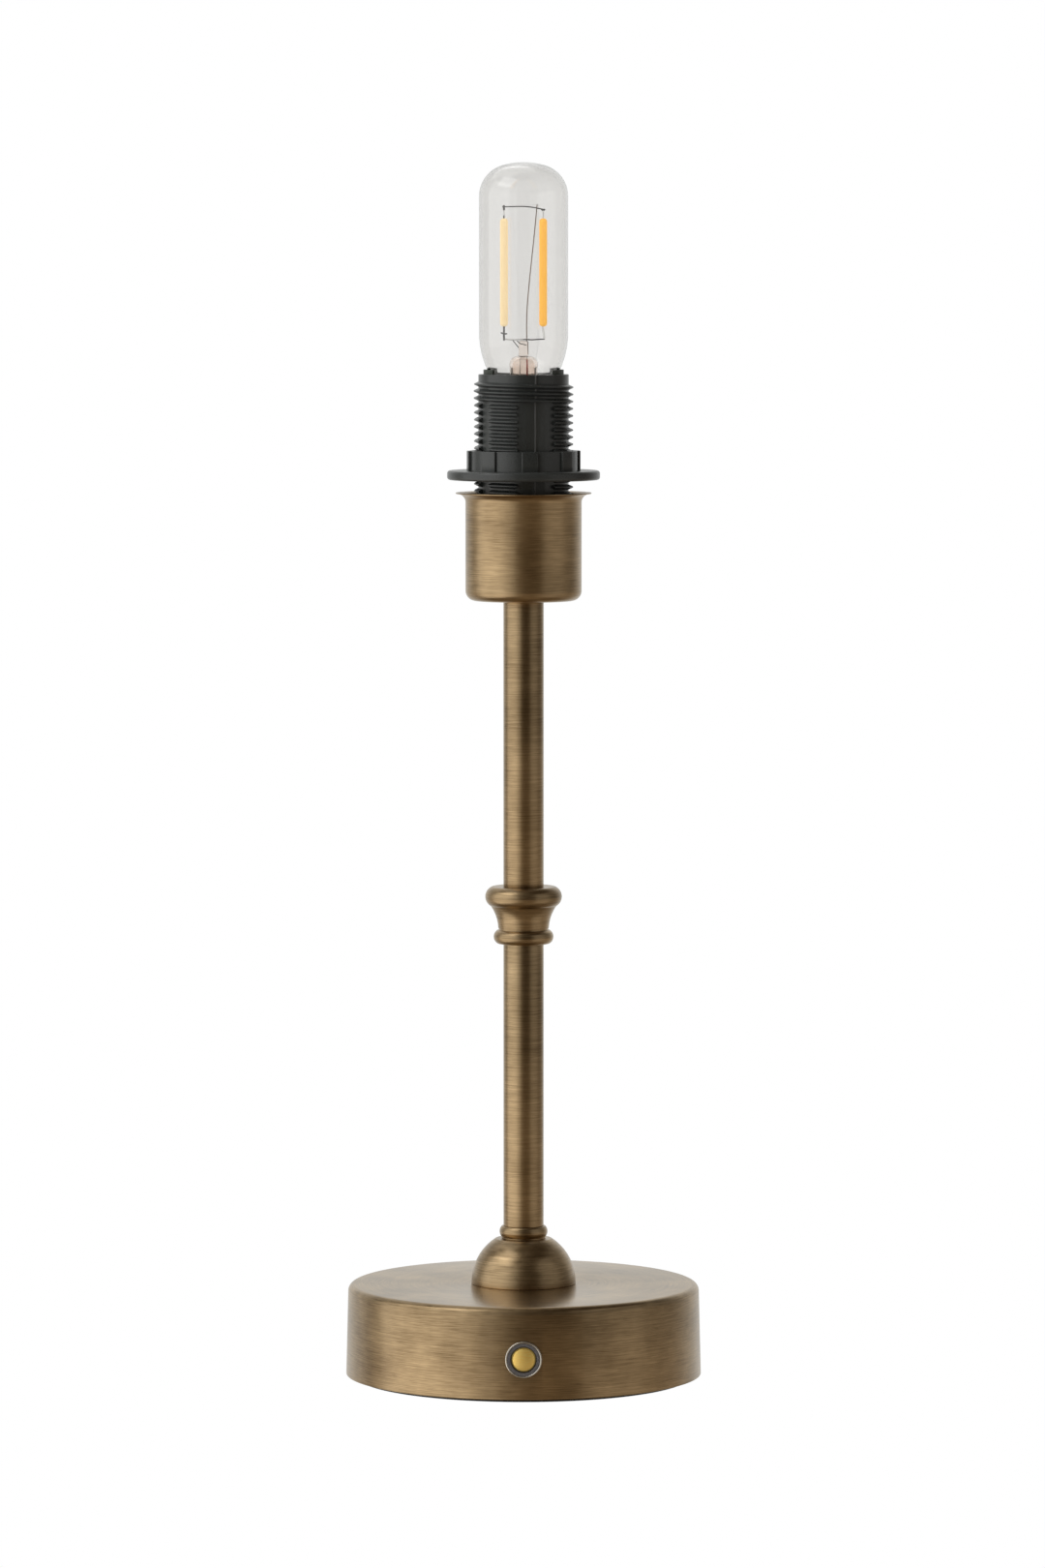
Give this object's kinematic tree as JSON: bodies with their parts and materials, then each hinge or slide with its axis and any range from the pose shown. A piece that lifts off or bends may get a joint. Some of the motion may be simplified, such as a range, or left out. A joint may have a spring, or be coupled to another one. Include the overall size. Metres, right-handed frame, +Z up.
{
  "type": "table lamp",
  "caption": "Cordless table lamp with a bare tubular filament bulb on a slim turned column, a threaded lampholder with a shade ring, and a round weighted base with a push button.",
  "frame": {"origin": "middle of the foot pad's underside, where the lamp stands", "axes": "+Z up along the column, -Y towards the push button, +X to the right of someone facing the button"},
  "size_m": [0.1006, 0.1015, 0.3432],
  "materials": {
    "aged_brass": "aged, brushed around the turned faces",
    "pad_rubber": "matt",
    "cover_plastic": "matt, fine grain",
    "ballast_iron": "sandy cast",
    "zinc_steel": "zinc plated",
    "tray_plastic": "matt",
    "cell_sleeve": "shrink sleeve over a metal can",
    "nickel": "bright rolled",
    "board_green": "solder mask",
    "part_black": "moulded",
    "bezel_steel": "polished",
    "light_guide": "clear",
    "button_gold": "polished rim, satin dish",
    "holder_black": "moulded, slightly satin",
    "block_grey": "moulded",
    "contact_brass": "bright stamped",
    "live_sleeve": "wire sleeve",
    "neutral_sleeve": "wire sleeve",
    "clear_glass": "clear",
    "filament_amber": "phosphor coat",
    "support_wire": "drawn wire",
    "cap_nickel": "nickel plated",
    "cap_glass_black": "fused black glass",
    "solder": "solder"
  },
  "bodies": {
    "stand": {"foot_pad": "pad_rubber", "bottom_cover": "cover_plastic", "cover_screws": "zinc_steel", "weight_plate": "ballast_iron", "pillars": "zinc_steel", "base_shell": "aged_brass", "battery_tray": "tray_plastic", "tray_screws": "zinc_steel", "battery_cells": "cell_sleeve", "nickel_strips": "nickel", "driver_board": "board_green", "board_components": "part_black", "button_bezel": "bezel_steel", "light_ring": "light_guide", "bezel_nut": "zinc_steel", "tact_switch": "part_black", "switch_board": "board_green", "switch_foot": "tray_plastic", "charge_inlet": "nickel", "inlet_board": "board_green", "inlet_block": "tray_plastic", "threaded_rod": "zinc_steel", "base_washer": "zinc_steel", "base_nut": "zinc_steel", "cup_washer": "zinc_steel", "cup_nut": "zinc_steel", "dome": "aged_brass", "neck_bead": "aged_brass", "lower_stem": "aged_brass", "knop": "aged_brass", "upper_stem": "aged_brass", "cup": "aged_brass", "holder_base": "holder_black", "grub_screw": "zinc_steel", "holder_barrel": "holder_black", "contact_block": "block_grey", "screw_shell": "cap_nickel", "centre_contact": "contact_brass", "side_contact": "contact_brass", "terminal_blocks": "contact_brass", "terminal_screws": "zinc_steel", "live_wire": "live_sleeve", "neutral_wire": "neutral_sleeve"},
    "button": {"button_cap": "button_gold", "switch_plunger": "part_black"},
    "shade_ring": {"shade_ring": "holder_black"},
    "bulb_tip": {"tip_contact": "solder"},
    "bulb": {"cap_insulator": "cap_glass_black", "bulb_cap": "cap_nickel", "bulb_glass": "clear_glass", "glass_stem": "clear_glass", "stem_bead": "clear_glass", "filaments": "filament_amber", "support_wires": "support_wire", "bulb_driver": "board_green", "lead_wires": "support_wire"}
  },
  "joints": [
    {"name": "button_press", "type": "slide", "parent": "stand", "child": "button", "axis": [0, 1, 0], "range_m": [0, 0.0006], "stiffness_N_per_m": 600, "springref_m": -0.0005},
    {"name": "shade_ring_travel", "type": "slide", "parent": "stand", "child": "shade_ring", "axis": [0, 0, 1], "range_m": [-0.0035, 0.092]},
    {"name": "bulb_lift", "type": "slide", "parent": "stand", "child": "bulb_tip", "axis": [0, 0, 1], "range_m": [0, 0.0142]},
    {"name": "bulb_turn", "type": "hinge", "parent": "bulb_tip", "child": "bulb", "pos_m": [0, 0, 0.272], "axis": [0, 0, 1], "range_deg": [0, 1800]}
  ],
  "couplings": [
    {"joint": "bulb_lift", "follows": "bulb_turn", "m_per_rad": 0.00044882}
  ]
}
